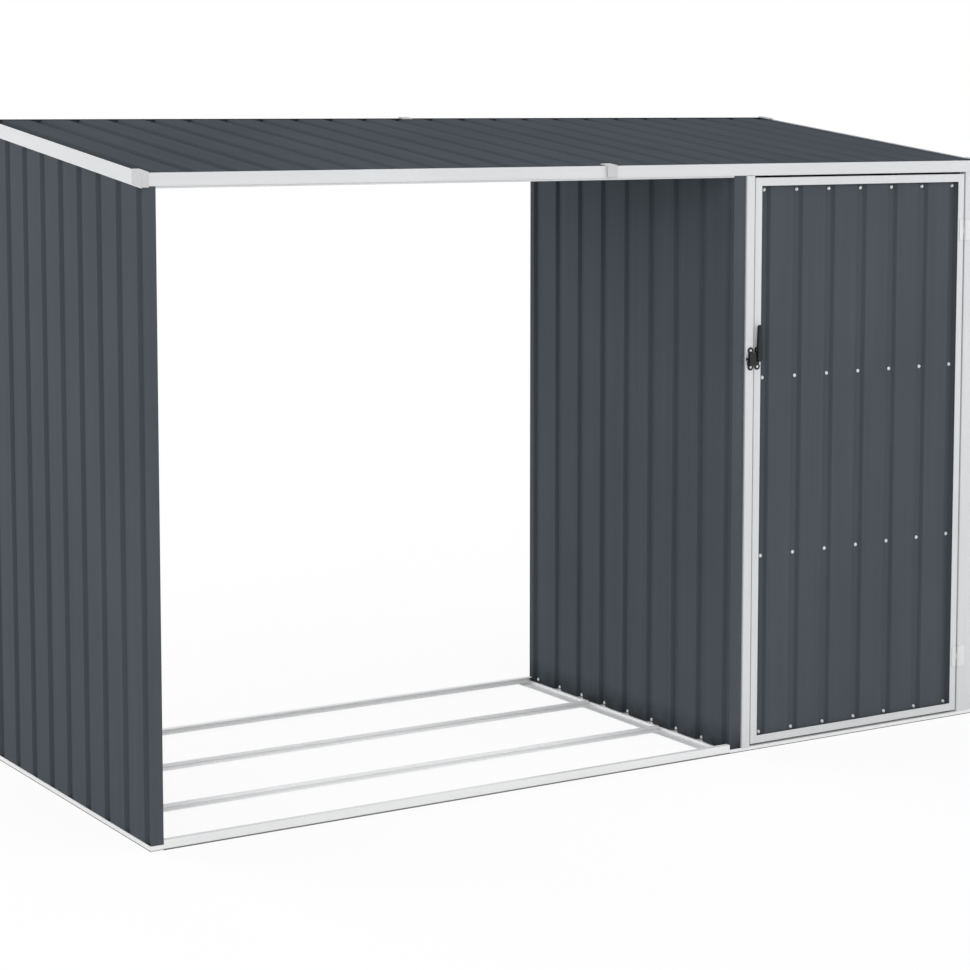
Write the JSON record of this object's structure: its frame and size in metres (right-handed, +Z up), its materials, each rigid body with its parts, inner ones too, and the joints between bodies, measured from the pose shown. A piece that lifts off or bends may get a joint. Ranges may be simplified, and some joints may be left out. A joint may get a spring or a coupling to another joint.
{
  "type": "log store",
  "caption": "Lean-to log store of dark ribbed sheet steel with pale trims: an open log bay beside a closed tool shed with a hinged, latched door.",
  "frame": {"origin": "bottom centre of the box round the whole store, on the ground", "axes": "+X along the front from the log bay to the shed, +Y from the front to the back, +Z up"},
  "size_m": [2.456, 0.971, 1.6297],
  "materials": {
    "ribbed_sheet": "satin",
    "frame_rail": "satin",
    "trim": "satin",
    "cap": "matte",
    "hinge": "satin",
    "latch": "satin"
  },
  "bodies": {
    "store": {"left_wall": "ribbed_sheet", "divider_wall": "ribbed_sheet", "right_wall": "ribbed_sheet", "shed_back_wall": "ribbed_sheet", "left_roof_sheet": "ribbed_sheet", "right_roof_sheet": "ribbed_sheet", "left_sole_rail": "frame_rail", "divider_sole_rail": "frame_rail", "right_sole_rail": "frame_rail", "threshold": "frame_rail", "shed_back_rail": "frame_rail", "bay_front_rail": "frame_rail", "bay_back_rail": "frame_rail", "bay_bearers": "frame_rail", "bay_front_beam": "frame_rail", "bay_back_beam": "frame_rail", "shed_back_beam": "frame_rail", "left_top_rail": "frame_rail", "divider_top_rail": "frame_rail", "right_top_rail": "frame_rail", "front_trim_left": "trim", "front_trim_right": "trim", "back_trim_left": "trim", "back_trim_right": "trim", "left_verge_trim": "trim", "right_verge_trim": "trim", "latch_post": "trim", "hinge_post": "trim", "door_head": "trim", "front_left_cap": "cap", "front_right_cap": "cap", "back_left_cap": "cap", "back_right_cap": "cap", "trim_clips": "cap", "hinge_post_leaves": "hinge", "latch_keeper": "latch"},
    "door": {"door_latch_stile": "trim", "door_hinge_stile": "trim", "door_top_rail": "trim", "door_bottom_rail": "trim", "door_sheet": "ribbed_sheet", "door_mid_rails": "frame_rail", "hinge_door_leaves": "hinge", "latch_plate": "latch"},
    "lever": {"latch_lever": "latch"}
  },
  "joints": [
    {"name": "door_hinge", "type": "hinge", "parent": "store", "child": "door", "pos_m": [1.1685, -0.4745, 0.745], "axis": [0, 0, 1], "range_deg": [0, 170]},
    {"name": "latch_turn", "type": "hinge", "parent": "door", "child": "lever", "pos_m": [0.469, -0.4775, 1.01893], "axis": [0, 1, 0], "range_deg": [0, 90]}
  ]
}
